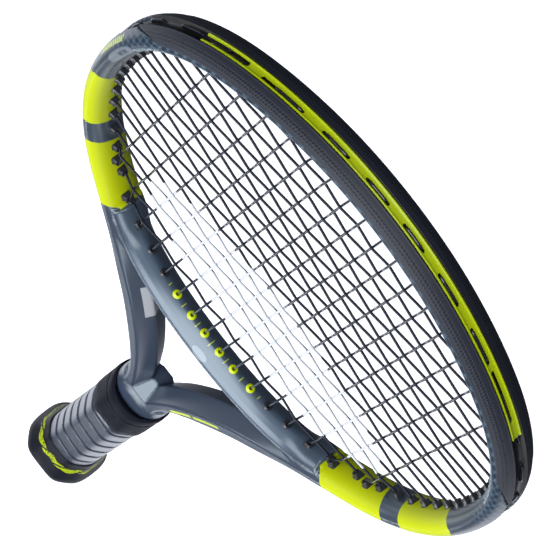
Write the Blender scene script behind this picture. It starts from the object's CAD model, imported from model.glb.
"""Looks of a strung tennis racket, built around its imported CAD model.

The CAD frame is in metres: the origin is the middle of the butt's end face, +Y runs along the racket
to its tip, +X runs across the face and +Z is square to the strings. Lengths below are in millimetres.
"""
import math

import bmesh
import bpy
import numpy as np
from mathutils import Matrix, Vector
from mathutils.kdtree import KDTree


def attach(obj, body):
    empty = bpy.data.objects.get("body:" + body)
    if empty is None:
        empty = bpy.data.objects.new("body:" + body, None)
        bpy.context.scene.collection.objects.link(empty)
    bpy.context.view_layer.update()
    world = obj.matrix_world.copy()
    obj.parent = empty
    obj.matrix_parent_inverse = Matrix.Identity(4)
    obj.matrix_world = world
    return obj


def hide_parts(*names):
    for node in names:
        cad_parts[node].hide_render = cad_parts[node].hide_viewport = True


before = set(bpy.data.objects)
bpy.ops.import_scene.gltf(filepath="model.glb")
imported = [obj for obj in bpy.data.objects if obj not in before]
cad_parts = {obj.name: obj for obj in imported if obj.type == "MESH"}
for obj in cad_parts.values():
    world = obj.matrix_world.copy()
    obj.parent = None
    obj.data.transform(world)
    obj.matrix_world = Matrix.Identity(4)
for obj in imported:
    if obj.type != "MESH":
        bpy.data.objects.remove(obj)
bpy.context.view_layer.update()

MM = 0.001
RACKET = "racket"
RELAX_IN, RELAX_OUT = 0.5, -0.52

# ------------------------------------------------------------------ driving dimensions

HOOP_POINTS = [
    (0, 679.3), (26, 676.4), (50.5, 667.8), (77, 651.6), (99.5, 630),
    (117, 602), (127.8, 569), (132, 524), (129.7, 484.5), (120.6, 446.5),
    (105.6, 412.5), (82.2, 376.6), (57.8, 340), (38.9, 308), (21.9, 270),
    (11.6, 236), (9.0, 218), (8.7, 205),
]
BRIDGE_POINTS = [(0, 340.8), (17, 342), (30, 344.9), (43, 349.6), (56, 357), (69, 367.6), (80, 379.5)]
# Distance from the tip, thickness in the plane of the strings, height
BEAM = np.array([
    (0, 13, 21.5), (120, 13, 21.6), (227, 13, 21.2), (314, 13, 21), (386, 13, 21.4), (430, 13.2, 20.6),
    (507, 13.4, 19.6), (543, 13.9, 18.8), (575, 13.6, 18),
])
DEPTH = 13.0
GROOVE_FLOOR = 3.5
GROOVE_HALF = 3.4
GROOVE_END_Y = 330
GROOVE_FADE = 14
GUARD_END = 178
GUARD_SLANT = 28
GUARD_SEAT = 1.5
GUARD_MARGIN = 2.5
STRIP_REACH = 123.2
STRIP_CLOSED_END = 2.2
ARM_LINE_R = 1.6
LAST_SLOT = [80.0, 111.0]
BRIDGE_HEIGHT = 18.6
BRIDGE_GROOVE_HALF = 2.8
CREST = 1.12

MAIN_X = [5.8, 16.4, 28.7, 40.6, 53, 66.6, 80.8, 96.9]
CROSS_COUNT = 19
TIGHTEST_CROSS = 8
TIGHTEST_Y = 538.8
TIGHTEST_SPACING = 11.8
TIP_GROWTH = 0.48
THROAT_START = 12.25
THROAT_GROWTH = 0.21
LAST_SPACINGS = [17.3, 20]
STRING_RADIUS = 0.65
WEAVE = 0.66
MAIN_LANE = 0.6
CROSS_LANE = -0.9
LOOP_RADIUS = 5.85
SIDE_LOOP_RADIUS = 4.8
LOWEST_HOLE_Y = 368
LONG_RANK = 6
LONG_EXIT_Y = 357
STENCIL_X, STENCIL_Y, STENCIL_HALF_X, STENCIL_HALF_Y = 8.0, 434.0, 86.0, 43.0

# Yellow bands on each side of the hoop: where each end lies, from the tip, and its slant per unit of z
BANDS = [((262, 1.0), (314, 0.3)), ((333.5, 0.45), (388, 0.6))]

# ------------------------------------------------------------------ rails


def catmull_rom(points, per_span=160):
    """Points along a centripetal Catmull-Rom curve."""
    p = np.array(points, float)
    p = np.vstack([2 * p[0] - p[1], p, 2 * p[-1] - p[-2]])
    out = []
    t = np.linspace(0, 1, per_span, endpoint=False)[:, None]
    for i in range(1, len(p) - 2):
        x0, x1, x2, x3 = p[i - 1], p[i], p[i + 1], p[i + 2]
        d0, d1, d2 = (max(np.linalg.norm(b - a) ** 0.5, 1e-6) for a, b in ((x0, x1), (x1, x2), (x2, x3)))
        m1 = d1 * ((x1 - x0) / d0 - (x2 - x0) / (d0 + d1) + (x2 - x1) / d1)
        m2 = d1 * ((x2 - x1) / d1 - (x3 - x1) / (d1 + d2) + (x3 - x2) / d2)
        c2 = -3 * x1 + 3 * x2 - 2 * m1 - m2
        c3 = 2 * x1 - 2 * x2 + m1 + m2
        out.append(x1 + m1 * t + c2 * t ** 2 + c3 * t ** 3)
    out.append(p[-2][None, :])
    return np.vstack(out)


class Rail:
    """A curve in the plane z = 0, mirrored about x = 0; s is the distance from its middle."""

    def __init__(self, half_points, turn):
        left = [(-x, y) for x, y in half_points[:0:-1]]
        self.points = catmull_rom(left + list(half_points))
        steps = np.linalg.norm(np.diff(self.points, axis=0), axis=1)
        length = np.concatenate([[0], np.cumsum(steps)])
        self.half = length[-1] / 2
        self.stations = length - self.half
        tangent = np.gradient(self.points, self.stations, axis=0)
        tangent /= np.linalg.norm(tangent, axis=1)[:, None]
        self.normals = np.stack([-tangent[:, 1], tangent[:, 0]], 1) * turn

    def sample(self, s):
        point = np.array([np.interp(s, self.stations, self.points[:, k]) for k in (0, 1)])
        normal = np.array([np.interp(s, self.stations, self.normals[:, k]) for k in (0, 1)])
        return point, normal / np.linalg.norm(normal, axis=0)

    def at(self, s, r, z):
        """Points at distance s along the rail, r outwards and z up, as an array with x, y, z last."""
        s, r, z = np.broadcast_arrays(np.asarray(s, float), r, z)
        point, normal = self.sample(s)
        xy = point + normal * r
        return np.stack([xy[0], xy[1], z], -1)


hoop = Rail(HOOP_POINTS, 1)
bridge = Rail(BRIDGE_POINTS, -1)


def solve(value, low, high):
    """Where value(s) crosses zero."""
    rising = value(high) > value(low)
    for _ in range(40):
        middle = (low + high) / 2
        if (value(middle) > 0) == rising:
            high = middle
        else:
            low = middle
    return (low + high) / 2


def station_at_y(y):
    return solve(lambda s: hoop.at(s, 0, 0)[1] - y, 0, hoop.half)


def beam(s):
    """Half thickness and half height of the hoop at distance s from the tip."""
    d = np.abs(s)
    return np.interp(d, BEAM[:, 0], BEAM[:, 1]) / 2, np.interp(d, BEAM[:, 0], BEAM[:, 2]) / 2


def smooth(x, low, high):
    t = np.clip((np.asarray(x, float) - low) / (high - low), 0, 1)
    return t * t * (3 - 2 * t)


# ------------------------------------------------------------------ strings' places

cross_y = [0.0] * CROSS_COUNT
cross_y[TIGHTEST_CROSS - 1] = TIGHTEST_Y
cross_y[TIGHTEST_CROSS - 2] = TIGHTEST_Y + TIGHTEST_SPACING
for n, j in enumerate(range(TIGHTEST_CROSS - 3, -1, -1), 1):
    cross_y[j] = cross_y[j + 1] + TIGHTEST_SPACING + TIP_GROWTH * n
for n, j in enumerate(range(TIGHTEST_CROSS, CROSS_COUNT), 1):
    last = j - (CROSS_COUNT - len(LAST_SPACINGS))
    cross_y[j] = cross_y[j - 1] - (LAST_SPACINGS[last] if last >= 0 else THROAT_START + THROAT_GROWTH * n)
main_x = [-x for x in reversed(MAIN_X)] + MAIN_X

groove_end = station_at_y(GROOVE_END_Y)
lowest_station = station_at_y(LOWEST_HOLE_Y)
long_station = station_at_y(LONG_EXIT_Y)
widest = max(range(int(hoop.half)), key=lambda s: hoop.at(s, -DEPTH / 2, 0)[0])


class Hole:
    """A string's hole, from the inner wall of one rail to the outer groove of the same or another."""

    def __init__(self, rail, s, exit_rail, exit_s, lane):
        self.rail, self.s, self.exit_rail, self.exit_s, self.lane = rail, s, exit_rail, exit_s, lane
        self.wall = rail.at(s, -DEPTH / 2, lane)
        self.exit = exit_rail.at(exit_s, LOOP_RADIUS, lane)
        along = self.exit - self.wall
        self.along = along / np.linalg.norm(along)


def hoop_hole(axis, goal, low, high, side, lane):
    s = side * solve(lambda t: hoop.at(t, -DEPTH / 2, 0)[axis] - goal, low, high)
    return Hole(hoop, s, hoop, s, lane)


def bridge_hole(x, side, rank):
    s = side * solve(lambda t: bridge.at(t, -DEPTH / 2, 0)[0] - x, 0, bridge.half)
    if rank == LONG_RANK:
        return Hole(bridge, s, hoop, side * long_station, MAIN_LANE)
    out = side * solve(lambda t: bridge.at(t, LOOP_RADIUS, 0)[0] - x, 0, bridge.half)
    return Hole(bridge, s, bridge, out, 0)


def main_pair(x):
    side, away = math.copysign(1, x), abs(x)
    rank = MAIN_X.index(away) + 1
    top = hoop_hole(0, away, 0, widest, side, MAIN_LANE)
    if rank > LONG_RANK:
        return top, hoop_hole(0, away, widest, lowest_station, side, MAIN_LANE)
    return top, bridge_hole(away, side, rank)


main_holes = [main_pair(x) for x in main_x]
cross_holes = [
    tuple(hoop_hole(1, y, 0, lowest_station, side, CROSS_LANE) for side in (-1, 1))
    for y in cross_y
]
all_holes = [hole for pair in main_holes + cross_holes for hole in pair]
hoop_holes = [hole for hole in all_holes if hole.rail is hoop]
bridge_holes = [hole for hole in all_holes if hole.rail is bridge]
guard_holes = [hole for hole in hoop_holes if abs(hole.exit_s) < GUARD_END - GUARD_MARGIN]
side_holes = [hole for hole in hoop_holes if hole not in guard_holes]

# ------------------------------------------------------------------ mesh helpers


def add_object(name, data):
    obj = bpy.data.objects.new(name, data)
    bpy.context.scene.collection.objects.link(obj)
    return obj


def new_object(name, vertices, faces):
    """A mesh object from vertices in millimetres."""
    mesh = bpy.data.meshes.new(name)
    points = [tuple(v) for v in np.asarray(vertices, float) * MM]
    mesh.from_pydata(points, [], [tuple(map(int, f)) for f in faces])
    mesh.validate()
    mesh.shade_smooth()
    return add_object(name, mesh)


def tube_faces(rings, sides):
    """Quads between rings of the same number of points, with an n-gon cap at each end."""
    i = np.arange(rings - 1)[:, None]
    k = np.arange(sides)[None, :]
    a = i * sides + k
    b = i * sides + (k + 1) % sides
    faces = np.stack([a, b, b + sides, a + sides], -1).reshape(-1, 4).tolist()
    last = (rings - 1) * sides
    faces.append([k for k in reversed(range(sides))])
    faces.append([last + k for k in range(sides)])
    return faces


def join_parts(parts):
    """(vertices, faces) of several meshes as one."""
    vertices, faces, start = [], [], 0
    for v, f in parts:
        vertices.append(np.asarray(v, float).reshape(-1, 3))
        faces += [[start + k for k in face] for face in f]
        start += len(vertices[-1])
    return np.vstack(vertices), faces


def loft(rings):
    """A closed body through an array of rings, [ring, point, xyz]."""
    rings = np.asarray(rings, float)
    return rings.reshape(-1, 3), tube_faces(rings.shape[0], rings.shape[1])


def fix_normals(obj):
    work = bmesh.new()
    work.from_mesh(obj.data)
    bmesh.ops.recalc_face_normals(work, faces=work.faces)
    work.to_mesh(obj.data)
    work.free()
    return obj


def apply_modifiers(obj):
    bpy.context.view_layer.update()
    graph = bpy.context.evaluated_depsgraph_get()
    mesh = bpy.data.meshes.new_from_object(obj.evaluated_get(graph))
    obj.modifiers.clear()
    old = obj.data
    obj.data = mesh
    mesh.name = old.name
    bpy.data.meshes.remove(old)
    return obj


def cut_out(obj, **bodies):
    """Takes closed bodies out of an object."""
    tools = [fix_normals(new_object(name, *body)) for name, body in bodies.items()]
    for tool in tools:
        boolean = obj.modifiers.new("cut", "BOOLEAN")
        boolean.operation = "DIFFERENCE"
        boolean.solver = "EXACT"
        boolean.object = tool
    apply_modifiers(obj)
    for tool in tools:
        bpy.data.objects.remove(tool)
    obj.data.shade_smooth()


def coordinates(mesh):
    co = np.empty(len(mesh.vertices) * 3)
    mesh.vertices.foreach_get("co", co)
    return co.reshape(-1, 3)


def relax(obj, rounds, weight=None):
    """Smooths without shrinking: each vertex moves towards its neighbours' middle, then back."""
    mesh = obj.data
    edges = np.empty(len(mesh.edges) * 2, np.int64)
    mesh.edges.foreach_get("vertices", edges)
    edges = edges.reshape(-1, 2)
    co = coordinates(mesh)
    count = np.bincount(edges.ravel(), minlength=len(co))[:, None].clip(1)
    scale = np.ones((len(co), 1)) if weight is None else weight(co / MM)[:, None]
    for k in range(rounds * 2):
        total = np.zeros_like(co)
        for axis in range(3):
            total[:, axis] += np.bincount(edges[:, 0], co[edges[:, 1], axis], len(co))
            total[:, axis] += np.bincount(edges[:, 1], co[edges[:, 0], axis], len(co))
        factor = RELAX_IN if k % 2 == 0 else RELAX_OUT
        co = co + scale * factor * (total / count - co)
    mesh.vertices.foreach_set("co", co.ravel())
    mesh.update()


def set_attribute(obj, name, values):
    attribute = obj.data.attributes.new(name, "FLOAT", "POINT")
    attribute.data.foreach_set("value", np.asarray(values, np.float32))


def finish_piece(obj, material, slot, *nodes, body=RACKET):
    obj.data.materials.clear()
    obj.data.materials.append(material)
    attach(obj, body)
    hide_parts(*nodes)
    return obj


# ------------------------------------------------------------------ node materials


class Nodes:
    """Short forms for building a material's nodes."""

    def __init__(self, name):
        self.material = bpy.data.materials.new(name)
        self.material.use_nodes = True
        self.tree = self.material.node_tree
        self.shader = self.tree.nodes["Principled BSDF"]

    def add(self, kind, inputs=(), output=0, **settings):
        node = self.tree.nodes.new("ShaderNode" + kind)
        for key, value in settings.items():
            setattr(node, key, value)
        for key, value in dict(inputs).items():
            self.feed(node, key, value)
        return node.outputs[output]

    def feed(self, node, key, value):
        if isinstance(value, bpy.types.NodeSocket):
            self.tree.links.new(value, node.inputs[key])
        else:
            node.inputs[key].default_value = value

    def math(self, operation, a, b=0.0, c=0.0, clamp=False):
        return self.add("Math", {0: a, 1: b, 2: c}, operation=operation, use_clamp=clamp)

    def plus(self, a, b, clamp=False):
        return self.math("ADD", a, b, clamp=clamp)

    def minus(self, a, b, clamp=False):
        return self.math("SUBTRACT", a, b, clamp=clamp)

    def times(self, a, b, clamp=False):
        return self.math("MULTIPLY", a, b, clamp=clamp)

    def ratio(self, a, b):
        return self.math("DIVIDE", a, b)

    def absolute(self, value):
        return self.math("ABSOLUTE", value)

    def sine(self, value):
        return self.math("SINE", value)

    def below(self, value, limit):
        return self.math("LESS_THAN", value, limit)

    def above(self, value, limit):
        return self.math("GREATER_THAN", value, limit)

    def attribute(self, name):
        return self.add("Attribute", output=2, attribute_name=name)

    def place(self):
        """Position in millimetres, as separate x, y and z."""
        vector = self.add("TexCoord", output=3)
        scaled = self.add("VectorMath", {0: vector, 3: 1000.0}, operation="SCALE")
        node = self.tree.nodes.new("ShaderNodeSeparateXYZ")
        self.tree.links.new(scaled, node.inputs[0])
        return node.outputs[0], node.outputs[1], node.outputs[2], scaled

    def between(self, value, low, high):
        """1 where low < value < high"""
        return self.times(self.above(value, low), self.below(value, high))

    def ramp(self, value, low, high):
        inputs = {0: value, 1: low, 2: high, 3: 0.0, 4: 1.0}
        return self.add("MapRange", inputs, interpolation_type="SMOOTHSTEP")

    def mix(self, factor, a, b):
        return self.add("Mix", {0: factor, 6: a, 7: b}, output=2, data_type="RGBA")

    def noise(self, vector, scale, detail=3.0, roughness=0.5):
        inputs = {"Vector": vector, "Scale": scale, "Detail": detail, "Roughness": roughness}
        return self.add("TexNoise", inputs)

    def bump(self, height, strength, distance, normal=None):
        inputs = {"Height": height, "Strength": strength, "Distance": distance}
        if normal is not None:
            inputs["Normal"] = normal
        return self.add("Bump", inputs)

    def set(self, **inputs):
        for key, value in inputs.items():
            self.feed(self.shader, key.replace("_", " "), value)
        return self.material


class WorldNodes(Nodes):
    """The same short forms for the world's nodes."""

    def __init__(self, world):
        world.use_nodes = True
        self.tree = world.node_tree
        self.shader = self.tree.nodes["Background"]


def rgb(r, g, b):
    return (r, g, b, 1.0)


NAVY = rgb(0.026, 0.038, 0.066)
TEAL = rgb(0.030, 0.046, 0.064)
YELLOW = rgb(0.44, 0.50, 0.0)


def lacquer():
    """Satin blue-grey lacquer with yellow bands, ticks on the bridge and a fine weave by the bumper."""
    n = Nodes("lacquer")
    x, y, z, place = n.place()
    distance = n.attribute("distance")
    around = n.attribute("around")
    outward = n.attribute("outward")
    on_bridge = n.attribute("bridge")

    cloud = n.noise(place, 0.02, 4.0)
    base = n.mix(n.ramp(y, 300.0, 470.0), NAVY, TEAL)
    base = n.mix(n.times(cloud, 0.3), base, rgb(0.018, 0.028, 0.05))

    base = n.mix(n.times(on_bridge, 0.6), base, rgb(0.066, 0.095, 0.135))

    weave = woven_dots(n, distance, around)
    near = n.ramp(distance, 200.0, 260.0)
    base = n.mix(n.minus(1.0, near), base, rgb(0.012, 0.021, 0.036))
    base = n.mix(n.times(weave, 0.7), base, rgb(0.070, 0.115, 0.165))
    base = n.mix(inner_sparkle(n, distance, around, place), base, rgb(0.32, 0.42, 0.52))

    band = n.times(side_bands(n, distance, outward, z), n.minus(1.0, on_bridge))
    tone = n.mix(n.times(n.noise(place, 0.05, 2.0), 0.25), YELLOW, rgb(0.49, 0.55, 0.003))
    base = n.mix(band, base, tone)

    marks = n.plus(bridge_ticks(n, x, y, z), arm_line(n, y), clamp=True)
    marks = n.plus(marks, hoop_dashes(n, x, distance, around), clamp=True)
    base = n.mix(marks, base, rgb(0.50, 0.60, 0.01))
    base = n.mix(pale_patch(n, x, distance, around), base, rgb(0.15, 0.17, 0.20))
    base = n.mix(blank_label(n, x, z, distance, outward, on_bridge), base, rgb(0.40, 0.41, 0.44))
    base = n.mix(bridge_oval(n, x, y, z), base, rgb(0.17, 0.19, 0.23))

    fine = n.noise(place, 1.6, 2.0)
    rough = n.plus(0.26, n.times(fine, 0.1))
    rough = n.plus(rough, n.times(band, 0.12))
    height = n.plus(n.times(weave, 0.5), n.times(fine, 0.15))
    normal = n.bump(height, 0.3, 0.00012)
    plain = n.minus(1.0, band)
    gloss = n.times(plain, n.times(near, 0.60))
    return n.set(Base_Color=base, Roughness=rough, Normal=normal, Specular_Tint=rgb(0.84, 0.94, 1.0),
                 IOR=n.plus(1.28, gloss))


def woven_dots(n, distance, around):
    """Crossing diagonal threads that show beside the bumper's ends."""
    steep = n.times(around, 1.7)
    flat = n.times(distance, 0.85)
    first = n.ramp(n.sine(n.plus(steep, flat)), 0.1, 0.8)
    second = n.ramp(n.sine(n.minus(steep, flat)), 0.1, 0.8)
    threads = n.plus(n.times(first, 0.55), n.times(second, 0.45))
    return n.times(threads, n.minus(1.0, n.ramp(distance, 200.0, 226.0)))


def inner_sparkle(n, distance, around, place):
    """Light flecks along the inner edge beside the bumper."""
    flecks = n.ramp(n.noise(place, 1.1, 2.0), 0.5, 0.58)
    edge = n.between(n.absolute(around), 15.5, 24.0)
    return n.times(n.times(flecks, edge), n.below(distance, 185.0))


def side_bands(n, distance, outward, z):
    """1 inside the yellow bands, whose ends slant up the inner side and turn back over the outer one."""
    lean = n.minus(z, n.times(n.math("MAXIMUM", outward, 0.0), 1.3))
    total = None
    for (start, start_slant), (end, end_slant) in BANDS:
        past_start = n.above(n.plus(distance, n.times(lean, start_slant)), start)
        before_end = n.below(n.plus(distance, n.times(lean, end_slant)), end)
        part = n.times(past_start, before_end)
        total = part if total is None else n.plus(total, part, clamp=True)
    return total


def bridge_ticks(n, x, y, z):
    """Short ticks between the bridge's grommets, longest in the middle."""
    total = None
    for k, place in enumerate([0, 11.1, 22.55, 34.65]):
        off = n.minus(n.absolute(x), float(place))
        wide = n.below(n.absolute(off), 0.22)
        high = n.below(n.absolute(z), 2.4 - 0.45 * k)
        one = n.times(wide, high)
        total = one if total is None else n.plus(total, one, clamp=True)
    return n.times(total, n.between(y, 343.0, 358.0))


def arm_line(n, y):
    """A broken thin line on the edge of one arm."""
    thin = n.below(n.attribute("line"), 0.75)
    reach = n.plus(n.between(y, 246.0, 270.0), n.between(y, 273.0, 298.0))
    return n.times(thin, reach)


def hoop_dashes(n, x, distance, around):
    """A row of slanted dashes on one side, above the upper band."""
    slanted = n.math("FRACT", n.ratio(n.plus(distance, around), 3.2))
    dash = n.below(slanted, 0.62)
    row = n.times(n.between(around, 8.2, 11.2), n.between(distance, 193.0, 232.0))
    return n.times(n.times(dash, row), n.below(x, 0.0))


def pale_patch(n, x, distance, around):
    """A pale rounded patch with a darker middle on the inner shoulder of one side."""
    across = n.ratio(n.minus(around, 15.6), 2.6)
    length = n.ratio(n.minus(distance, 204.0), 19.0)
    outer = n.plus(n.math("POWER", n.absolute(across), 3.0), n.math("POWER", n.absolute(length), 3.0))
    patch = n.minus(1.0, n.ramp(outer, 0.7, 1.0))
    middle = n.times(n.between(across, -0.45, 0.4), n.between(length, -0.6, 0.1))
    shown = n.times(patch, n.minus(0.75, n.times(middle, 0.65)))
    return n.times(shown, n.below(x, 0.0))


def blank_label(n, x, z, distance, outward, on_bridge):
    """A small blank label on the inner face of one arm."""
    patch = n.times(n.between(distance, 454.0, 481.5), n.between(z, -3.6, 4.7))
    inner = n.times(n.between(outward, -9.0, -2.0), n.below(x, 0.0))
    return n.times(n.times(patch, inner), n.minus(1.0, on_bridge))


def bridge_oval(n, x, y, z):
    """A small plain oval in the middle of the bridge's upper face."""
    across = n.ratio(n.minus(x, 0.5), 5.0)
    height = n.ratio(n.minus(z, 7.0), 1.5)
    reach = n.plus(n.times(across, across), n.times(height, height))
    return n.times(n.below(reach, 1.0), n.between(y, 330.0, 350.0))


def bumper_plastic():
    """Satin black nylon with rows of dimples along both wings."""
    n = Nodes("bumper_plastic")
    x, y, z, place = n.place()
    along = n.attribute("along")
    around = n.attribute("around")
    height = n.absolute(z)
    u = n.ratio(along, 1.7)
    v = n.ratio(around, 1.6)
    shift = n.times(n.math("MODULO", n.math("FLOOR", v), 2.0), 0.5)
    fu = n.minus(n.math("FRACT", n.plus(u, shift)), 0.5)
    fv = n.minus(n.math("FRACT", v), 0.5)
    radius = n.math("SQRT", n.plus(n.times(fu, fu), n.times(fv, fv)))
    dimple = n.minus(1.0, n.ramp(radius, 0.22, 0.40))
    rows = n.between(height, 6.2, 9.6)
    dimple = n.times(dimple, rows)
    grain = n.noise(place, 2.5, 3.0)
    color = n.mix(n.times(grain, 0.6), rgb(0.015, 0.018, 0.029), rgb(0.026, 0.030, 0.044))
    color = n.mix(n.times(dimple, 0.65), color, rgb(0.003, 0.003, 0.005))
    channel = n.below(height, 3.4)
    color = n.mix(channel, color, rgb(0.002, 0.002, 0.003))
    rough = n.plus(0.48, n.times(grain, 0.14))
    rough = n.minus(rough, n.times(channel, 0.12))
    relief = n.minus(n.times(grain, 0.08), dimple)
    normal = n.bump(relief, 0.7, 0.00025)
    return n.set(Base_Color=color, Roughness=rough, Normal=normal, Specular_IOR_Level=0.35)


def plain_plastic(name, low, high, roughness, scale=1.2, coat=0.0, glow=0.0, specular=0.5):
    """Moulded plastic: a slow tone change, a fine grain and small scuffs in the gloss."""
    n = Nodes(name)
    place = n.place()[3]
    grain = n.noise(place, scale, 4.0, 0.6)
    scuff = n.ramp(n.noise(place, scale * 0.2, 5.0, 0.7), 0.45, 0.75)
    color = n.mix(grain, low, high)
    rough = n.plus(roughness, n.times(scuff, 0.14))
    normal = n.bump(grain, 0.15, 0.0001)
    return n.set(Base_Color=color, Roughness=rough, Normal=normal, Coat_Weight=coat, Coat_Roughness=0.15,
                 Emission_Color=high, Emission_Strength=glow, Specular_IOR_Level=specular)


def string_material(name, gloss):
    """Dark co-polyester with a slight twist; a plain pale oval is stencilled on the face."""
    n = Nodes(name)
    x, y, z, place = n.place()
    along = n.attribute("along")
    tone = n.noise(place, 0.6, 3.0)
    twist = n.sine(n.times(along, 3.0))
    color = n.mix(tone, rgb(0.008, 0.010, 0.017), rgb(0.016, 0.019, 0.030))
    across = n.ratio(n.minus(x, STENCIL_X), STENCIL_HALF_X)
    length = n.ratio(n.minus(y, STENCIL_Y), STENCIL_HALF_Y)
    reach = n.plus(n.times(across, across), n.times(length, length))
    painted = n.times(n.below(reach, 1.0), n.ramp(z, -0.9, -0.1))
    ink = n.times(painted, n.plus(0.8, n.times(tone, 0.3)), clamp=True)
    color = n.mix(ink, color, rgb(0.60, 0.62, 0.67))
    rough = n.plus(0.08, n.times(tone, 0.08))
    rough = n.plus(rough, n.times(painted, 0.4))
    normal = n.bump(twist, 0.08, 0.00003)
    return n.set(Base_Color=color, Roughness=rough, Normal=normal, Specular_IOR_Level=gloss)


def grip_material():
    """Black polyurethane grip: fine pores, a soft sheen, lighter tape edges and dark seams."""
    n = Nodes("grip")
    place = n.place()[3]
    edge = n.attribute("edge")
    pores = n.add("TexVoronoi", {"Vector": place, "Scale": 1.6}, feature="F1")
    grain = n.noise(place, 0.5, 5.0, 0.6)
    color = n.mix(grain, rgb(0.012, 0.018, 0.034), rgb(0.024, 0.034, 0.060))
    color = n.mix(n.times(edge, 0.3), color, rgb(0.09, 0.10, 0.15))
    color = n.mix(n.attribute("seam"), color, rgb(0.002, 0.002, 0.004))
    rough = n.plus(0.22, n.times(grain, 0.14))
    height = n.plus(n.times(pores, 0.3), n.times(grain, 0.6))
    normal = n.bump(height, 0.1, 0.0002)
    gloss = n.minus(0.5, n.times(n.attribute("seam"), 0.45))
    return n.set(Base_Color=color, Roughness=rough, Normal=normal, Coat_Weight=0.25, Coat_Roughness=0.32,
                 Specular_Tint=rgb(0.76, 0.83, 1.0), Specular_IOR_Level=gloss)


def cap_material():
    """Black moulded cap with a broken yellow band."""
    n = Nodes("cap")
    x, y, z, place = n.place()
    turn = n.math("ARCTAN2", z, x)
    wave = n.times(n.sine(n.times(turn, 13.0)), 0.9)
    lower = n.plus(20.6, n.times(wave, 0.8))
    upper = n.plus(26.4, wave)
    band = n.times(n.above(y, lower), n.below(y, upper))
    slant = n.plus(n.times(turn, 9.0), n.times(y, 0.55))
    gap = n.below(n.sine(slant), -0.86)
    wear = n.above(n.noise(place, 0.9, 3.0), 0.57)
    band = n.minus(band, n.plus(gap, wear), clamp=True)
    grain = n.noise(place, 1.1, 4.0, 0.6)
    color = n.mix(grain, rgb(0.005, 0.006, 0.010), rgb(0.011, 0.012, 0.019))
    color = n.mix(band, color, rgb(0.34, 0.42, 0.0))
    rough = n.plus(0.4, n.times(grain, 0.14))
    normal = n.bump(grain, 0.2, 0.00012)
    return n.set(Base_Color=color, Roughness=rough, Normal=normal, Specular_IOR_Level=0.07)


# ------------------------------------------------------------------ frame


def polygon_radius(corners, angle):
    """Distance from the origin to a convex outline in each direction."""
    best = np.full(len(angle), np.inf)
    direction = np.stack([np.cos(angle), np.sin(angle)], 1)
    for (r1, z1), (r2, z2) in zip(corners, corners[1:] + corners[:1]):
        normal = np.array([z2 - z1, r1 - r2])
        if normal @ np.array([r1, z1]) < 0:
            normal = -normal
        reach = normal @ np.array([r1, z1])
        facing = direction @ normal
        with np.errstate(divide="ignore", invalid="ignore"):
            distance = np.where(facing > 1e-9, reach / facing, np.inf)
        best = np.minimum(best, distance)
    return best


def oval_radius(a, h, power, angle):
    return (np.abs(np.cos(angle) / a) ** power + np.abs(np.sin(angle) / h) ** power) ** (-1 / power)


def arm_share(s):
    """0 on the hoop, 1 on the arms, where the section has a ridge along its inner wall."""
    return float(smooth(abs(s), 385, 455))


def outline(s, angle):
    """Distance from the centre line to the frame's skin, in directions round its section."""
    a, h = beam(s)
    shave = 0.9 * math.exp(-((abs(s) - 262) / 52) ** 2)
    inner = oval_radius(a, h, 2.15, angle)
    outer = oval_radius(a - shave, h, 2.12, angle)
    lean = smooth(np.cos(angle), -0.2, 0.4)
    hoop_radius = inner + (outer - inner) * lean
    share = arm_share(s)
    if share == 0:
        return hoop_radius
    bevel = 1.8 + 3.2 * float(smooth(abs(s), 480, 572))
    facet = 5.2 - 1.4 * float(smooth(abs(s), 545, 568))
    corners = [
        (-a, 0), (-a + facet, h), (a - bevel, h), (a, h - 1.25 * bevel),
        (a, 1.25 * bevel - h), (a - bevel, -h), (-a + facet, -h),
    ]
    return hoop_radius + share * (polygon_radius(corners, angle) - hoop_radius)


def guard_reach(z):
    """Where the bumper guard ends, along the hoop, at height z."""
    return GUARD_END - GUARD_SLANT * smooth(np.abs(z), GROOVE_HALF, 12.0)


def frame_ring(s, sides=72):
    """Section of the hoop or an arm: r outwards and z up."""
    a, h = beam(s)
    fade = float(np.clip((groove_end - abs(s)) / GROOVE_FADE, 0, 1))
    floor = (a - 0.2) + (GROOVE_FLOOR - (a - 0.2)) * fade
    start = solve(lambda t: float((outline(s, np.array([t])) * math.sin(t))[0]) - GROOVE_HALF, 0, 1.2)
    angle = np.linspace(start, 2 * math.pi - start, sides)
    radius = outline(s, angle)
    r, z = radius * np.cos(angle), radius * np.sin(angle)
    cover = smooth(r / a, -0.02, 0.3) * smooth(guard_reach(z) + 1.0 - abs(s), 0, 1.2)
    r = r - GUARD_SEAT * cover
    z = z * (1 - 0.05 * cover)
    r = np.concatenate([r, [floor, floor]])
    z = np.concatenate([z, [-GROOVE_HALF, GROOVE_HALF]])
    return r, z


def frame_rings(step):
    stations = np.linspace(-hoop.half, hoop.half, int(2 * hoop.half / step))
    return [hoop.at(s, *frame_ring(s)) for s in stations]


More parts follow.
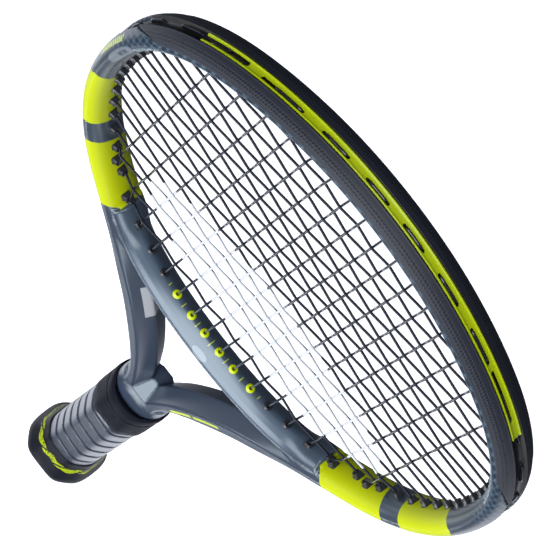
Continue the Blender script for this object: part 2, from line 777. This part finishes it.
def bridge_rings(step, sides=110):
    """The bridge's crest lies on its throat side; from there its face leans over to the strings."""
    upper = [(5.9, 3.4), (4.9, 7.6), (3.1, 8.75), (0.4, 8.1), (-2.2, 6.3), (-4.6, 3.6), (-6.1, 1.2)]
    corners = upper + [(r, -z) for r, z in reversed(upper)]
    angle = np.linspace(0.5, 2 * math.pi - 0.5, sides)
    crest = np.minimum(np.abs(angle - CREST), np.abs(angle - 2 * math.pi + CREST))
    round_section = oval_radius(DEPTH / 2, BRIDGE_HEIGHT / 2, 2.3, angle)
    leaning = polygon_radius(corners, angle) - 0.45 * np.exp(-(crest / 0.05) ** 2)
    stations = np.linspace(-bridge.half, bridge.half, int(2 * bridge.half / step))
    rings = []
    for s in stations:
        share = 1 - float(smooth(abs(s), 62, 84))
        radius = round_section + share * (leaning - round_section)
        r = np.concatenate([radius * np.cos(angle), [GROOVE_FLOOR, GROOVE_FLOOR]])
        z = np.concatenate([radius * np.sin(angle), [-BRIDGE_GROOVE_HALF, BRIDGE_GROOVE_HALF]])
        rings.append(bridge.at(s, r, z))
    return rings


def box_ring(y, half_x, half_z, corner):
    x, z = half_x - corner, half_z - corner
    points = [(half_x, z), (x, half_z), (-x, half_z), (-half_x, z),
              (-half_x, -z), (-x, -half_z), (x, -half_z), (half_x, -z)]
    return [(px, y, pz) for px, pz in points]


def rounded_ring(y, half_x, half_z, power, sides=96):
    angle = np.linspace(0, 2 * math.pi, sides, endpoint=False)
    radius = oval_radius(half_x, half_z, power, angle)
    return np.stack([radius * np.cos(angle), np.full(sides, y), radius * np.sin(angle)], 1)


def crotch():
    """The web between the arms: a facet that leans back above, and an upright one below."""
    profile = [(199, 9.05), (214.5, 9.05), (223, 0), (223, -9.05), (199, -9.05)]
    half = [4.9, 4.7, 4.2, 4.2, 4.9]
    left = [(-w, y, z) for (y, z), w in zip(profile, half)]
    right = [(w, y, z) for (y, z), w in zip(profile, half)]
    return loft([left, right])


def build_frame():
    hairpin = loft([box_ring(150, 11.4, 7.6, 2.4), box_ring(195, 11.4, 7.6, 2.4)])
    shaft = loft([rounded_ring(*row) for row in (
        (180, 16.6, 11.9, 2.3), (197, 16.6, 11.9, 2.3), (203, 16.5, 10.7, 2.4), (209, 16.4, 9.7, 2.7),
        (214, 16.2, 9.05, 3.2), (219.5, 15.3, 3.0, 3.2))])
    parts = [loft(frame_rings(1.6)), loft(bridge_rings(1.6)), hairpin, shaft, crotch()]
    body = fix_normals(new_object("frame_shell", *join_parts(parts)))
    remesh = body.modifiers.new("voxel", "REMESH")
    remesh.mode = "VOXEL"
    remesh.voxel_size = 0.8 * MM
    apply_modifiers(body)
    body.data.shade_smooth()

    def junction(co):
        """More smoothing where the bridge meets the hoop."""
        x, y = np.abs(co[:, 0]), co[:, 1]
        return smooth(12 - np.hypot(x - 70, y - 357) * 0.75, 0, 6)

    def flare(co):
        """More smoothing where the arms' sides run into the shaft."""
        x, y = np.abs(co[:, 0]), co[:, 1]
        return smooth(x, 9.5, 13) * smooth(y, 196, 200) * (1 - smooth(y, 220, 230))

    relax(body, 2)
    relax(body, 10, junction)
    relax(body, 40, flare)
    label_frame(body)
    return finish_piece(body, lacquer(), "frame_paint", "frame", "throat_bridge")


def nearest_stations(co, reach):
    """Distance along the hoop of the point of its centre line that is nearest to each vertex."""
    stations = np.arange(-reach, reach, 0.5)
    tree = KDTree(len(stations))
    for k, point in enumerate(hoop.at(stations, 0, 0)):
        tree.insert(point, k)
    tree.balance()
    return stations[np.array([tree.find((p[0], p[1], 0))[1] for p in co])]


def label_frame(body):
    """Stores each vertex's place along the hoop and round its section, for the lacquer."""
    co = coordinates(body.data) / MM
    s = nearest_stations(co, hoop.half)
    point, normal = hoop.sample(s)
    r = (co[:, 0] - point[0]) * normal[0] + (co[:, 1] - point[1]) * normal[1]
    a, h = beam(s)
    on_bridge = (r < -a - 1.2) & (co[:, 1] < 400) & (co[:, 1] > 325)
    set_attribute(body, "distance", np.abs(s))
    set_attribute(body, "around", np.arctan2(co[:, 2], r) * 9)
    set_attribute(body, "outward", r)
    set_attribute(body, "bridge", on_bridge.astype(float))
    far = np.hypot(r - ARM_LINE_R, co[:, 2] - h)
    set_attribute(body, "line", np.where(co[:, 0] > 8, far, 9))


# ------------------------------------------------------------------ bumper guard and its insert


def guard_ring(s_share, sides=26):
    """One ring of the bumper: an outer skin, a rounded lip and an inner skin, above and below."""
    channel = 3.05
    s_mid = s_share * GUARD_END

    def skin(grow, first, last, count):
        angle = np.linspace(first, last, count)
        radius = outline(s_mid, angle) + grow
        return radius * np.cos(angle), radius * np.sin(angle)

    a, h = beam(s_mid)
    first = solve(lambda t: float((outline(s_mid, np.array([t])) * math.sin(t))[0]) - channel, 0, 1.2)
    last = 1.40
    r_out, z_out = skin(0.15, first, last, sides)
    bead = np.exp(-((np.linspace(0, 1, sides) - 0.93) / 0.05) ** 2) * 0.35
    rim = np.exp(-((np.linspace(0, 1, sides) - 0.05) / 0.05) ** 2) * 0.25
    scale = 1 + (bead + rim) / np.hypot(r_out, z_out)
    r_out, z_out = r_out * scale, z_out * scale
    r_in, z_in = skin(-1.25, last + 0.02, first + 0.16, sides)
    upper_r = np.concatenate([[4.9], r_out, r_in, [4.2]])
    upper_z = np.concatenate([[channel], z_out, z_in, [channel + 0.3]])
    r = np.concatenate([upper_r, upper_r[::-1]])
    z = np.concatenate([upper_z, -upper_z[::-1]])
    return r, z


def build_guard():
    shares = np.linspace(-1, 1, 300)
    rings = []
    for share in shares:
        r, z = guard_ring(share)
        s = share * guard_reach(z)
        rings.append(hoop.at(s, r, z))
    parts = [loft(rings)] + [barrel(hole) for hole in guard_holes]
    guard = fix_normals(new_object("bumper_guard_shell", *join_parts(parts)))
    label_guard(guard)
    return finish_piece(guard, bumper_plastic(), "guard_plastic", "bumper_guard")


def label_guard(guard):
    co = coordinates(guard.data) / MM
    s = nearest_stations(co, GUARD_END + 5)
    point, normal = hoop.sample(s)
    offset = co[:, :2].T - point
    r = (offset * normal).sum(0)
    tangent = np.array([normal[1], -normal[0]])
    set_attribute(guard, "along", s + (offset * tangent).sum(0))
    set_attribute(guard, "around", np.arctan2(co[:, 2], r) * 9.5)


def strip_ring():
    """Section of the yellow insert: raised rims beside a lower middle."""
    half = 2.7
    rim = [(5.35, half), (6.35, half - 0.05), (6.5, half - 0.25), (6.5, half - 0.65),
           (6.2, half - 0.95), (6.1, 0.8)]
    return np.array([(r, -z) for r, z in rim] + rim[::-1]).T


def slot_ranges():
    stations = [hole.s for hole, _ in main_holes]
    ranges = [[stations[i] - 1.6, stations[i + 1] + 1.6] for i in range(0, len(stations), 2)]
    ranges[0][0] = -STRIP_REACH - 5
    ranges[1][0] -= 7
    ranges[-1] = LAST_SLOT
    return ranges


def capsule(low, high, half, middle, steps=40):
    """A slot cutter along the groove, with rounded ends."""
    t = (1 - np.cos(np.linspace(0, math.pi, steps))) / 2
    rings = []
    for s in low + (high - low) * t:
        end = min(s - low, high - s)
        width = half * math.sqrt(max(1 - (1 - min(end / half, 1)) ** 2, 0.002))
        low_z, high_z = middle - width, middle + width
        rings.append(hoop.at(s, [3.5, 9, 9, 3.5], [low_z, low_z, high_z, high_z]))
    return loft(rings)


def build_strip():
    r, z = strip_ring()
    stations = np.linspace(-STRIP_REACH, STRIP_REACH - STRIP_CLOSED_END, 280)
    strip = fix_normals(new_object("bumper_insert", *loft([hoop.at(s, r, z) for s in stations])))
    parts = []
    for i, (low, high) in enumerate(slot_ranges()):
        middle, half = (0.1, 1.45) if i == 0 else (0.75, 0.9)
        parts.append(capsule(low, high, half, middle))
    cut_out(strip, slot_cutters=join_parts(parts))
    strip.data.set_sharp_from_angle(angle=math.radians(40))
    low, high = rgb(0.36, 0.46, 0.0), rgb(0.48, 0.58, 0.0)
    yellow = plain_plastic("strip_plastic", low, high, 0.38, 0.8, glow=0.05)
    return finish_piece(strip, yellow, "yellow_plastic", "bumper_insert_strip")


# ------------------------------------------------------------------ grommets


def around_axis(start, axis, profile, sides, shape):
    """A closed cup turned round an axis: profile holds (height, radius); shape bends the circle."""
    axis = np.asarray(axis, float)
    side = np.cross(axis, [0, 0, 1.0])
    side /= np.linalg.norm(side)
    up = np.cross(side, axis)
    angle = np.linspace(0, 2 * math.pi, sides, endpoint=False)
    rings = []
    for height, radius, square in profile:
        reach = radius * shape(angle, square)
        turn = np.outer(reach * np.cos(angle), side) + np.outer(reach * np.sin(angle), up)
        rings.append(start + axis * height + turn)
    return loft(rings)


def squarish(angle, share):
    """Radius of a rounded square, blended with a circle."""
    power = 2 + 5 * share
    return (np.abs(np.cos(angle)) ** power + np.abs(np.sin(angle)) ** power) ** (-1 / power)


def barrel(hole, reach=2.9):
    """A black grommet standing out of the inner wall: a flange, a square-cut block and its bore."""
    axis = -hole.along
    profile = [
        (-2.0, 1.7, 0.2), (-0.6, 1.75, 0.3), (-0.15, 2.5, 0.8), (0.35, 2.45, 0.8), (0.6, 2.05, 0.9),
        (reach - 0.25, 1.85, 0.95), (reach, 1.65, 0.9), (reach, 1.0, 0.1), (reach - 1.2, 0.85, 0.0),
        (reach - 3.6, 0.85, 0.0),
    ]
    return around_axis(hole.wall, axis, profile, 28, squarish)


def dome(hole, reach=1.75):
    """A rounded ring round a string on the bridge."""
    axis = -hole.along
    profile = [
        (-1.5, 1.6, 0), (-0.3, 1.7, 0), (-0.05, 2.35, 0), (0.35, 2.42, 0), (0.8, 2.3, 0),
        (1.25, 2.02, 0), (reach - 0.1, 1.6, 0), (reach, 1.25, 0), (reach - 0.15, 0.98, 0),
        (reach - 0.8, 0.85, 0), (-0.8, 0.85, 0),
    ]
    return around_axis(hole.wall, axis, profile, 36, squarish)


def groove_strip(rail, low, high, half):
    stations = np.linspace(low, high, max(4, int((high - low) / 2.5)))
    r = [3.3, 4.0, 4.15, 4.0, 3.3]
    z = [-half, -half, 0, half, half]
    return loft([rail.at(s, r, z) for s in stations])


def bridge_piece(name, holes, material, slot, node):
    """Domed rings on a strip in the bridge's groove."""
    parts = [dome(hole) for hole in holes]
    stations = [hole.exit_s for hole in holes]
    parts.append(groove_strip(bridge, min(stations) - 3, max(stations) + 3, 2.5))
    piece = fix_normals(new_object(name, *join_parts(parts)))
    finish_piece(piece, material, slot, node)


def build_grommets():
    low, high = rgb(0.012, 0.013, 0.017), rgb(0.026, 0.028, 0.034)
    black = plain_plastic("grommet_plastic", low, high, 0.28, 1.5, 0.2)
    low, high = rgb(0.42, 0.55, 0.0), rgb(0.60, 0.72, 0.0)
    yellow = plain_plastic("yellow_plastic", low, high, 0.3, 1.0, 0.2, 0.06)
    for name, side in (("left", -1), ("right", 1)):
        holes = [hole for hole in side_holes if hole.s * side > 0]
        low, high = sorted([side * (GUARD_END + 0.6), side * (long_station + 4)])
        parts = [groove_strip(hoop, low, high, 2.7)] + [barrel(hole) for hole in holes]
        outer = [hole for hole in bridge_holes if hole.exit_rail is hoop and hole.s * side > 0]
        parts += [barrel(hole, 2.2) for hole in outer]
        piece = fix_normals(new_object(f"grommets_{name}", *join_parts(parts)))
        piece.data.set_sharp_from_angle(angle=math.radians(35))
        finish_piece(piece, black, "grommet_plastic", f"side_grommets_{name}")

    middle = [hole for hole in bridge_holes if abs(hole.wall[0]) < MAIN_X[3] - 2]
    bridge_piece("grommets_bridge", middle, yellow, "yellow_plastic", "bridge_grommets")
    for name, side in (("left", -1), ("right", 1)):
        holes = [hole for hole in bridge_holes
                 if hole not in middle and hole.exit_rail is bridge and hole.s * side > 0]
        bridge_piece(f"grommets_throat_{name}", holes, black, "grommet_plastic", f"throat_grommets_{name}")


# ------------------------------------------------------------------ strings


def loop_radius(hole):
    """Loops lie deeper beside the bumper and below the insert's solid ends."""
    below_insert = 90 < abs(hole.exit_s) < STRIP_REACH
    beside_bumper = abs(hole.exit_s) > GUARD_END
    return SIDE_LOOP_RADIUS if hole.exit_rail is hoop and (below_insert or beside_bumper) else LOOP_RADIUS


def through(hole, partner):
    """From inside the face, through a hole, to the start of the loop towards another hole."""
    inside = hole.wall - hole.along * 3.4
    if partner is None:
        return [inside, hole.exit]
    step = 0.9 * np.sign(partner.exit_s - hole.exit_s)
    turn = hole.exit_rail.at(hole.exit_s, loop_radius(hole), hole.lane) - hole.along * 0.9
    return [inside, turn, hole.exit_rail.at(hole.exit_s + step, loop_radius(hole), hole.lane)]


def loop_between(a, b):
    span = b.exit_s - a.exit_s
    steps = max(2, round(abs(span) / 3))
    low, high = loop_radius(a), loop_radius(b)
    shares = [k / steps for k in range(1, steps)]
    return [a.exit_rail.at(a.exit_s + span * t, low + (high - low) * t, a.lane) for t in shares]


def string_points(runs):
    points = []
    for k, (enter, middle, leave) in enumerate(runs):
        before = runs[k - 1][2] if k else None
        after = runs[k + 1][0] if k + 1 < len(runs) else None
        points += through(enter, before)[::-1] + middle + through(leave, after)
        if after is not None:
            points += loop_between(leave, after)
    return np.array(points)


def over(i, j):
    return 1 if (i + j) % 2 == 0 else -1


def woven(fixed, moving, signs, axis):
    """Points of one string across the face: it bends round each string that it crosses."""
    out = []
    for k in range(len(moving)):
        out.append((moving[k], signs[k] * WEAVE))
        if k + 1 < len(moving):
            for t in (0.08, 0.18, 0.35, 0.5, 0.65, 0.82, 0.92):
                height = WEAVE * (0.35 * math.cos(math.pi * t) + 0.65 * (1 - 2 * t))
                out.append((moving[k] + (moving[k + 1] - moving[k]) * t, signs[k] * height))
    if axis == 1:
        return [np.array([fixed, m, z]) for m, z in out]
    return [np.array([m, fixed, z]) for m, z in out]


def in_face(x, j):
    return abs(x) < cross_holes[j][1].wall[0] - 4


def main_runs():
    runs = []
    for i, (top, bottom) in enumerate(main_holes):
        rows = [j for j in range(CROSS_COUNT) if in_face(main_x[i], j)]
        points = woven(main_x[i], [cross_y[j] for j in rows], [-over(i, j) for j in rows], 1)
        if i % 2 == 0:
            runs.append((bottom, points[::-1], top))
        else:
            runs.append((top, points, bottom))
    return runs


def cross_runs():
    runs = []
    for j, (left, right) in enumerate(cross_holes):
        columns = [i for i in range(len(main_x)) if in_face(main_x[i], j)]
        points = woven(cross_y[j], [main_x[i] for i in columns], [over(i, j) for i in columns], 0)
        if j % 2 == 0:
            runs.append((left, points, right))
        else:
            runs.append((right, points[::-1], left))
    return runs


def sweep(points, radius, sides=12):
    """A round string through its points."""
    tangent = np.gradient(points, axis=0)
    tangent /= np.linalg.norm(tangent, axis=1)[:, None]
    across = np.cross([0, 0, 1.0], tangent)
    across /= np.linalg.norm(across, axis=1)[:, None]
    up = np.cross(tangent, across)
    angle = np.linspace(0, 2 * math.pi, sides, endpoint=False)
    rings = points[:, None, :] + radius * (
        across[:, None, :] * np.cos(angle)[None, :, None] + up[:, None, :] * np.sin(angle)[None, :, None])
    return loft(rings)


def build_strings():
    rows = (
        ("strings_main", main_runs(), "main_string", 0.8),
        ("strings_cross", cross_runs(), "cross_string", 0.12),
    )
    for name, runs, node, gloss in rows:
        material = string_material(name, gloss)
        points = string_points(runs)
        keep = np.concatenate([[True], np.linalg.norm(np.diff(points, axis=0), axis=1) > 0.05])
        points = points[keep]
        piece = fix_normals(new_object(name, *sweep(points, STRING_RADIUS)))
        length = np.concatenate([[0], np.cumsum(np.linalg.norm(np.diff(points, axis=0), axis=1))])
        set_attribute(piece, "along", np.repeat(length, 12))
        finish_piece(piece, material, "string_poly", node)


# ------------------------------------------------------------------ handle


def octagon_radius(angle, half_x, half_z, corner, rounding=1.6):
    """Radius of an eight-sided section with softened corners."""
    normals = []
    diagonal = (half_x + half_z - corner) / math.sqrt(2)
    for k in range(8):
        turn = k * math.pi / 4
        reach = (half_x, diagonal, half_z, diagonal)[k % 4]
        normals.append(np.maximum(np.cos(angle - turn), 1e-3) / reach)
    power = 60 / rounding
    total = sum(n ** power for n in normals)
    return total ** (-1 / power)


def turned(profile, sides, bump=None):
    """Rings along +Y: profile holds (y, half x, half z, corner, rounding)."""
    angle = np.linspace(0, 2 * math.pi, sides, endpoint=False)
    rings = []
    for y, half_x, half_z, corner, rounding in profile:
        radius = octagon_radius(angle, half_x, half_z, corner, rounding)
        if bump is not None:
            radius = radius + bump(y, angle)
        rings.append(np.stack([radius * np.cos(angle), np.full(sides, y), radius * np.sin(angle)], 1))
    return rings


GRIP_PITCH = 18.6


def wrap_phase(y, angle):
    """0 at a tape edge, rising to 1 at the next, round and along the spiral."""
    return ((y - GRIP_PITCH * angle / (2 * math.pi)) / GRIP_PITCH + 0.3) % 1.0


def wrap_height(phase):
    """Each turn of the tape climbs slightly to its overlapped edge and drops into a seam."""
    climb = 0.28 * np.clip((phase - 0.08) / 0.68, 0, 1)
    drop = 1 - smooth(phase, 0.77, 0.90)
    seam = -0.45 * np.exp(-((phase - 0.92) / 0.045) ** 2)
    return climb * drop + seam


def build_grip():
    low, high = 37.6, 170.0
    rows = np.arange(low, high, 0.45)

    def size(y):
        thin = float(smooth(y, 148, 158))
        return 16.5 - 1.3 * thin, 15.0 - 1.3 * thin

    profile = [(y, *size(y), 8.1, 4.2) for y in rows]
    sides = 160
    rings = turned(profile, sides, lambda y, angle: wrap_height(wrap_phase(y, angle)))
    angle = np.linspace(0, 2 * math.pi, sides, endpoint=False)
    edge = np.concatenate([np.exp(-((wrap_phase(y, angle) - 0.74) / 0.03) ** 2) for y in rows])
    grip = fix_normals(new_object("grip_wrap", *loft(rings)))
    set_attribute(grip, "edge", edge)
    seam = np.concatenate([np.exp(-((wrap_phase(y, angle) - 0.93) / 0.05) ** 2) for y in rows])
    set_attribute(grip, "seam", seam)
    finish_piece(grip, grip_material(), "grip_synthetic", "base_grip")
    ends = ((162, 15.2, 13.7), (162.4, 15.6, 14.1), (185.6, 15.6, 14.1), (186, 15.2, 13.7))
    tape = turned([(*end, 8, 2) for end in ends], 120)
    piece = fix_normals(new_object("finishing_tape_film", *loft(tape)))
    film = plain_plastic("tape_film", rgb(0.008, 0.008, 0.01), rgb(0.015, 0.015, 0.018), 0.2, 0.9, 0.3)
    finish_piece(piece, film, "tape_film", "finishing_tape")


def build_collar():
    """A rubber band with a thick rim, whose mouth sinks in round the shaft."""
    profile = [
        (155.3, 16.6, 15.0, 8.4, 2.2), (155.5, 17.2, 15.6, 8.6, 2.4), (156.2, 17.5, 15.9, 8.7, 2.6),
        (164, 17.8, 16.0, 8.9, 3), (176, 17.9, 16.1, 9.2, 4), (184.4, 18.0, 16.1, 9.6, 5.5),
        (185.6, 18.0, 16.1, 9.6, 5.5), (186.1, 17.4, 15.6, 9.6, 5.5), (186.7, 17.4, 15.6, 9.6, 5.5),
        (187.2, 18.3, 16.3, 10, 7), (188.2, 18.6, 16.6, 10.3, 8), (195.6, 18.6, 16.6, 10.4, 9),
        (197.2, 18.4, 16.3, 10.4, 9), (198.2, 18.0, 15.8, 10.6, 10), (198.5, 17.6, 15.2, 10.6, 10),
    ]
    sides = 144
    rings = turned(profile, sides)
    angle = np.linspace(0, 2 * math.pi, sides, endpoint=False)
    for y, half_x, half_z in ((198.3, 17.0, 13.4), (197.5, 16.7, 12.6), (196.0, 16.2, 11.6)):
        rings.append(rounded_ring(y, half_x, half_z, 2.3, sides))
    piece = fix_normals(new_object("collar_band", *loft(rings)))
    low, high = rgb(0.004, 0.005, 0.009), rgb(0.009, 0.010, 0.017)
    rubber = plain_plastic("collar_rubber", low, high, 0.5, 1.3, specular=0.03)
    finish_piece(piece, rubber, "collar_rubber", "rubber_collar")


DOOR = {"half_x": 9.5, "low": -8.0, "hinge": 7.2, "thickness": 2.0}


def build_cap():
    profile = [
        (0.0, 19.6, 17.9, 9.2, 2), (0.4, 20.5, 18.8, 9.6, 3), (1.4, 21.2, 19.5, 10, 4),
        (3.5, 21.6, 19.9, 10.3, 5), (7, 21.7, 20.0, 10.6, 5), (10.5, 21.4, 19.7, 10.5, 5),
        (14, 20.6, 18.8, 10.1, 5), (19, 19.4, 17.6, 9.6, 4), (24, 18.4, 16.7, 9.2, 4),
        (29, 17.7, 16.0, 8.8, 3), (34, 17.3, 15.6, 8.6, 3), (37.2, 17.2, 15.6, 8.6, 2.5),
        (38.0, 16.9, 15.4, 8.5, 2.5), (38.3, 16.2, 14.8, 8.2, 2), (58.0, 15.0, 13.4, 7.4, 2),
    ]
    cap = fix_normals(new_object("butt_cap_shell", *loft(turned(profile, 144))))
    inside = loft([box_ring(4, 14.5, 12.9, 7.1), box_ring(90, 14.5, 12.9, 7.1)])
    window = loft([box_ring(-8, 9.9, 8.6, 0.5), box_ring(6, 9.9, 8.6, 0.5)])
    window = (window[0] + np.array([0, 0, 0.2]), window[1])
    cut_out(cap, cap_cutter=inside, cap_window=window)
    cap.data.set_sharp_from_angle(angle=math.radians(35))
    finish_piece(cap, cap_material(), "cap_rubber", "butt_cap")


def build_door():
    work = bmesh.new()
    width, height = 2 * DOOR["half_x"], DOOR["hinge"] - DOOR["low"]
    matrix = (Matrix.Translation(Vector((0, DOOR["thickness"] / 2, DOOR["low"] + height / 2)) * MM)
              @ Matrix.Diagonal((width * MM, DOOR["thickness"] * MM, height * MM, 1)))
    bmesh.ops.create_cube(work, size=1, matrix=matrix)
    upright = [
        e for e in work.edges
        if abs(e.verts[0].co.y - e.verts[1].co.y) > 1e-4 and e.verts[0].co.z < 0
    ]
    bmesh.ops.bevel(work, geom=upright, offset=1.2 * MM, segments=5, affect="EDGES")
    rims = [e for e in work.edges if abs(e.verts[0].co.y - e.verts[1].co.y) < 1e-6]
    bmesh.ops.bevel(work, geom=rims, offset=0.3 * MM, segments=2, affect="EDGES")
    mesh = bpy.data.meshes.new("trap_door_plate")
    work.to_mesh(mesh)
    work.free()
    door = add_object("trap_door_plate", mesh)
    pin = around_axis(np.array([0, 1.0, DOOR["hinge"]]), [1, 0, 0.0], [
        (-11.1, 0.35, 0), (-11.0, 0.6, 0), (-9.5, 0.6, 0), (-9.5, 0.98, 0),
        (9.5, 0.98, 0), (9.5, 0.6, 0), (11.0, 0.6, 0), (11.1, 0.35, 0),
    ], 24, squarish)
    pull = around_axis(np.array([0, 0.25, DOOR["low"] + 3.2]), [0, -1.0, 0], [
        (-0.4, 3.0, 0.3), (0.0, 3.0, 0.3), (0.18, 2.8, 0.3),
        (0.2, 2.2, 0.3), (0.05, 1.9, 0.3), (0.0, 0.3, 0),
    ], 32, squarish)
    hinge = fix_normals(new_object("trap_door_hinge_pin", *pin))
    tab = fix_normals(new_object("trap_door_pull", *pull))
    material = plain_plastic("door_plastic", rgb(0.016, 0.017, 0.022), rgb(0.034, 0.035, 0.044), 0.38, 1.2)
    finish_piece(door, material, "cap_rubber", "butt_trap_door", body="trap_door")
    for piece in (hinge, tab):
        piece.data.materials.append(material)
        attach(piece, "trap_door")


def finish_carried_nodes():
    """Foam pallets and steel staples keep their CAD shape."""
    foam = plain_plastic("pallet_foam", rgb(0.26, 0.26, 0.25), rgb(0.38, 0.38, 0.37), 0.8, 1.8)
    steel = plain_plastic("staple_steel", rgb(0.5, 0.5, 0.52), rgb(0.66, 0.66, 0.68), 0.3, 3.0)
    steel.node_tree.nodes["Principled BSDF"].inputs["Metallic"].default_value = 1
    for name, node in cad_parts.items():
        if name.startswith("handle_pallet"):
            node.data.materials.clear()
            node.data.materials.append(foam)
        if name.startswith("butt_cap_staple"):
            node.data.materials.clear()
            node.data.materials.append(steel)


# ------------------------------------------------------------------ stage, light and camera


def build_stage():
    """A white floor well below the racket, bright far behind the butt and dim close by in reflections."""
    size, drop = 40.0, -0.9
    mesh = bpy.data.meshes.new("floor")
    corners = [(-size, -size, drop), (size, -size, drop), (size, size, drop), (-size, size, drop)]
    mesh.from_pydata(corners, [], [(0, 1, 2, 3)])
    floor = add_object("floor", mesh)
    n = Nodes("floor")
    x, y, z, place = n.place()
    grain = n.noise(place, 0.01, 2.0)
    far = n.ramp(n.times(y, -1.0), 1200.0, 3200.0)
    seen = n.add("LightPath", output=0)
    white = n.mix(grain, rgb(0.78, 0.78, 0.79), rgb(0.82, 0.82, 0.83))
    color = n.mix(seen, rgb(0.05, 0.055, 0.07), white)
    glow = n.math("MAXIMUM", n.times(seen, 0.75), n.times(far, 1.4))
    n.set(Base_Color=color, Roughness=0.9, Emission_Color=rgb(0.90, 0.93, 1.0), Emission_Strength=glow)
    floor.data.materials.append(n.material)

    build_world()
    softbox("overhead", (-0.1, 0.7, 2.4), (-0.1, 0.69, 0), (2.4, 2.8), 98)
    softbox("front", (0, 3.3, 1.9), (0, 0.6, 0.3), (2.4, 3.0), 90)
    softbox("back", (0, -2.49, 1.62), (0, 0.5, 0), (0.4, 0.4), 4)
    for name, side in (("left", -1), ("right", 1)):
        softbox(name, (side * 2.3, -0.7, 1.75), (0, 0.4, 0), (1.4, 1.2), 17)


def build_world():
    """Pale walls to the camera; as light, a dim room with a glowing strip low behind the butt."""
    world = bpy.data.worlds.new("studio")
    bpy.context.scene.world = world
    n = WorldNodes(world)
    split = n.tree.nodes.new("ShaderNodeSeparateXYZ")
    n.feed(split, 0, n.add("TexCoord", output=0))
    behind = n.ramp(split.outputs[1], -0.3, -0.75)
    height = n.absolute(n.plus(split.outputs[2], 0.03))
    strip = n.times(behind, n.minus(1.0, n.ramp(height, 0.06, 0.24)))
    above = n.ramp(split.outputs[2], 0.3, 1.0)
    glow = n.plus(n.times(strip, 1.75), n.plus(0.09, n.times(above, 0.1)))
    seen = n.add("LightPath", output=0)
    strength = n.math("MAXIMUM", n.times(seen, 1.45), glow)
    n.feed(n.shader, "Color", rgb(0.88, 0.91, 1.0))
    n.feed(n.shader, "Strength", strength)


def softbox(name, place, target, size, power):
    light = bpy.data.lights.new(name, "AREA")
    light.shape = "RECTANGLE"
    light.size, light.size_y = size
    light.color = (0.94, 0.97, 1.0)
    light.energy = power
    obj = add_object(name, light)
    obj.location = place
    obj.rotation_euler = (Vector(target) - Vector(place)).to_track_quat("-Z", "Y").to_euler()


def build_camera():
    """Seen from beyond the tip, low over the strings, with the camera rolled."""
    azimuth, elevation, roll = (math.radians(v) for v in (-0.718, 17.275, -127.947))
    distance, target = 2.3123, Vector((-0.0089, 0.4954, 0))
    level_part = math.cos(elevation)
    back = Vector((math.sin(azimuth) * level_part, math.cos(azimuth) * level_part, math.sin(elevation)))
    level = Vector((0, 0, 1)).cross(back).normalized()
    upright = back.cross(level)
    right = level * math.cos(roll) + upright * math.sin(roll)
    up = back.cross(right)
    camera = bpy.data.cameras.new("camera")
    camera.sensor_width = 36
    camera.lens = 333.13
    camera.clip_end = 100
    obj = add_object("camera", camera)
    matrix = Matrix((right, up, back)).transposed().to_4x4()
    matrix.translation = target + back * distance
    obj.matrix_world = matrix
    bpy.context.scene.camera = obj
    bpy.context.scene.view_settings.view_transform = "Standard"


build_frame()
build_guard()
build_strip()
build_grommets()
build_strings()
build_grip()
build_collar()
build_cap()
build_door()
finish_carried_nodes()
build_stage()
build_camera()
